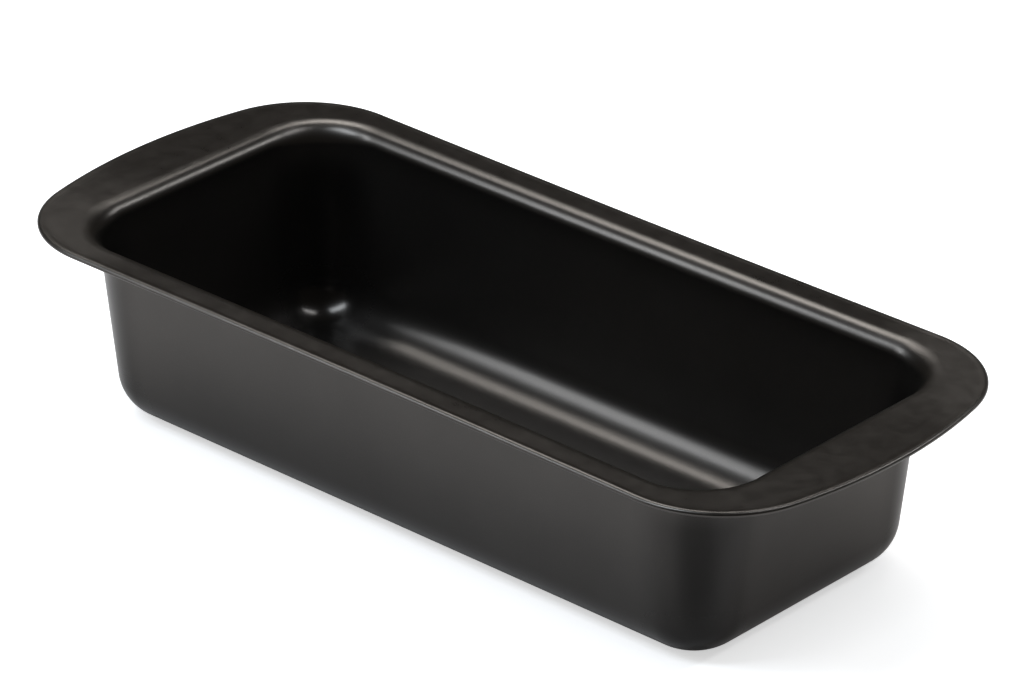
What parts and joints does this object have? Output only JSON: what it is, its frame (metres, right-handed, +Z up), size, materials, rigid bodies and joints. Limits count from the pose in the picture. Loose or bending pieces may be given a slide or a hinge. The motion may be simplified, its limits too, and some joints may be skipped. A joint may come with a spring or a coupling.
{
  "type": "loaf pan",
  "caption": "Long rectangular baking pan with leaning walls, rounded corners, a flat floor, and a rolled rim that widens into grips at both ends.",
  "frame": {"origin": "on the surface that the pan stands on, under the middle of its floor", "axes": "+X along the pan's length, +Y across it, +Z up out of the opening"},
  "size_m": [0.301, 0.1348, 0.0627],
  "materials": {
    "nonstick_coating": "dark charcoal non-stick coating on sheet steel, satin with a fine grain"
  },
  "bodies": {
    "root": {"pan_body": "nonstick_coating"}
  },
  "joints": []
}
